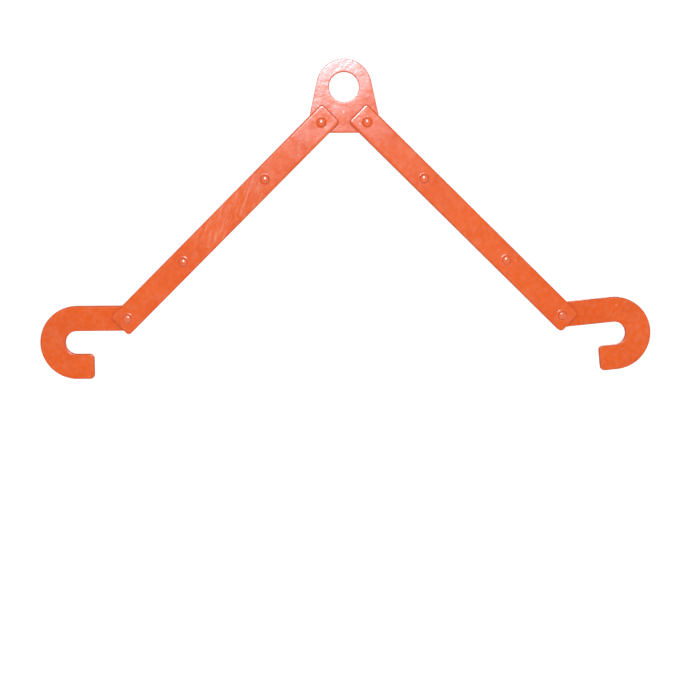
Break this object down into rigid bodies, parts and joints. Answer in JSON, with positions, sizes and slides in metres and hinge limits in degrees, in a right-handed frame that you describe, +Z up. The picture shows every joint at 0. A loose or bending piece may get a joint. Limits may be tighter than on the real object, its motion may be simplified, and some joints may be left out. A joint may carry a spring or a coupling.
{
  "type": "drum lifter",
  "caption": "Lifting tongs for carrying a steel drum on its side: riveted flat-bar arms swing from an eye plate and end in C-shaped hooks that grip the rims of the drum.",
  "frame": {"origin": "centre of the lifting eye, at the middle of the plate's thickness", "axes": "+X to the right along the arms' spread, +Y through the eye to the back, +Z up"},
  "size_m": [1.0284, 0.0361, 0.5296],
  "materials": {
    "plate_paint": "gloss orange enamel over steel plate",
    "bar_paint": "gloss orange enamel over flat steel bar",
    "hook_paint": "gloss orange enamel over steel plate",
    "rivet_paint": "gloss orange enamel over steel rivets",
    "sleeve_steel": "bare turned steel, hidden between the bars"
  },
  "bodies": {
    "head": {"head_plate": "plate_paint"},
    "left_arm": {"left_front_bar": "bar_paint", "left_rear_bar": "bar_paint", "left_head_rivet": "rivet_paint", "left_hook_rivet": "rivet_paint", "left_upper_tie_rivet": "rivet_paint", "left_lower_tie_rivet": "rivet_paint", "left_head_sleeve": "sleeve_steel", "left_hook_sleeve": "sleeve_steel", "left_upper_spacer": "bar_paint", "left_lower_spacer": "bar_paint"},
    "right_arm": {"right_front_bar": "bar_paint", "right_rear_bar": "bar_paint", "right_head_rivet": "rivet_paint", "right_hook_rivet": "rivet_paint", "right_upper_tie_rivet": "rivet_paint", "right_lower_tie_rivet": "rivet_paint", "right_head_sleeve": "sleeve_steel", "right_hook_sleeve": "sleeve_steel", "right_upper_spacer": "bar_paint", "right_lower_spacer": "bar_paint"},
    "left_hook": {"left_hook": "hook_paint"},
    "right_hook": {"right_hook": "hook_paint"}
  },
  "joints": [
    {"name": "left_arm_swing", "type": "hinge", "parent": "head", "child": "left_arm", "pos_m": [-0.038, 0, -0.058], "axis": [0, 1, 0], "range_deg": [-35, 45]},
    {"name": "right_arm_swing", "type": "hinge", "parent": "head", "child": "right_arm", "pos_m": [0.038, 0, -0.058], "axis": [0, -1, 0], "range_deg": [-35, 45]},
    {"name": "left_hook_pivot", "type": "hinge", "parent": "left_arm", "child": "left_hook", "pos_m": [-0.36497, 0, -0.38156], "axis": [0, 1, 0], "range_deg": [-45, 110]},
    {"name": "right_hook_pivot", "type": "hinge", "parent": "right_arm", "child": "right_hook", "pos_m": [0.36497, 0, -0.38156], "axis": [0, -1, 0], "range_deg": [-45, 110]}
  ]
}
